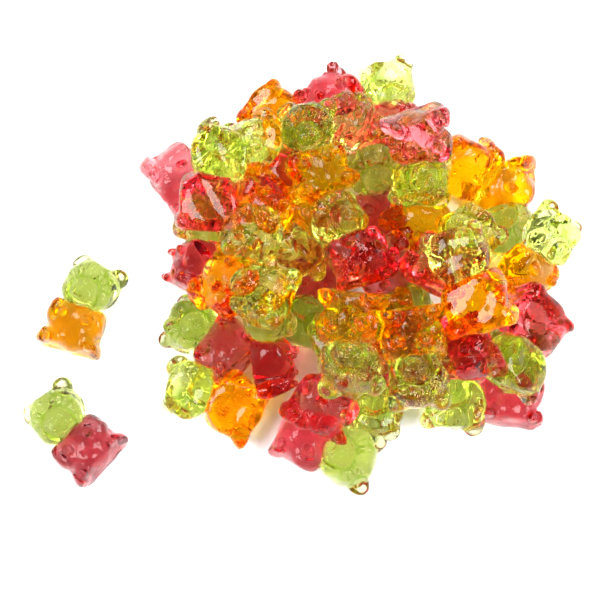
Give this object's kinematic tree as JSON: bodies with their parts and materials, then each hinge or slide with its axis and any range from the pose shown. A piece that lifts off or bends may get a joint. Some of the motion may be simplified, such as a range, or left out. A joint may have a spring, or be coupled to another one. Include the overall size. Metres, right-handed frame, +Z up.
{
  "type": "gummy bears",
  "caption": "Heap of clear two-colour gummy bears, green heads on orange or raspberry bodies, with two more bears lying beside it.",
  "frame": {"origin": "middle of the heap's underside, on the surface it lies on", "axes": "+Z up out of the surface, +Y towards the back of the heap, -X towards the two loose bears"},
  "size_m": [0.12, 0.095, 0.0305],
  "materials": {
    "heap_jelly": "glossy",
    "orange_jelly": "glossy",
    "raspberry_jelly": "glossy",
    "green_jelly": "glossy"
  },
  "bodies": {
    "root": {"bear_heap": "heap_jelly", "loose_bear_orange": "orange_jelly", "loose_bear_raspberry": "raspberry_jelly"}
  },
  "joints": []
}
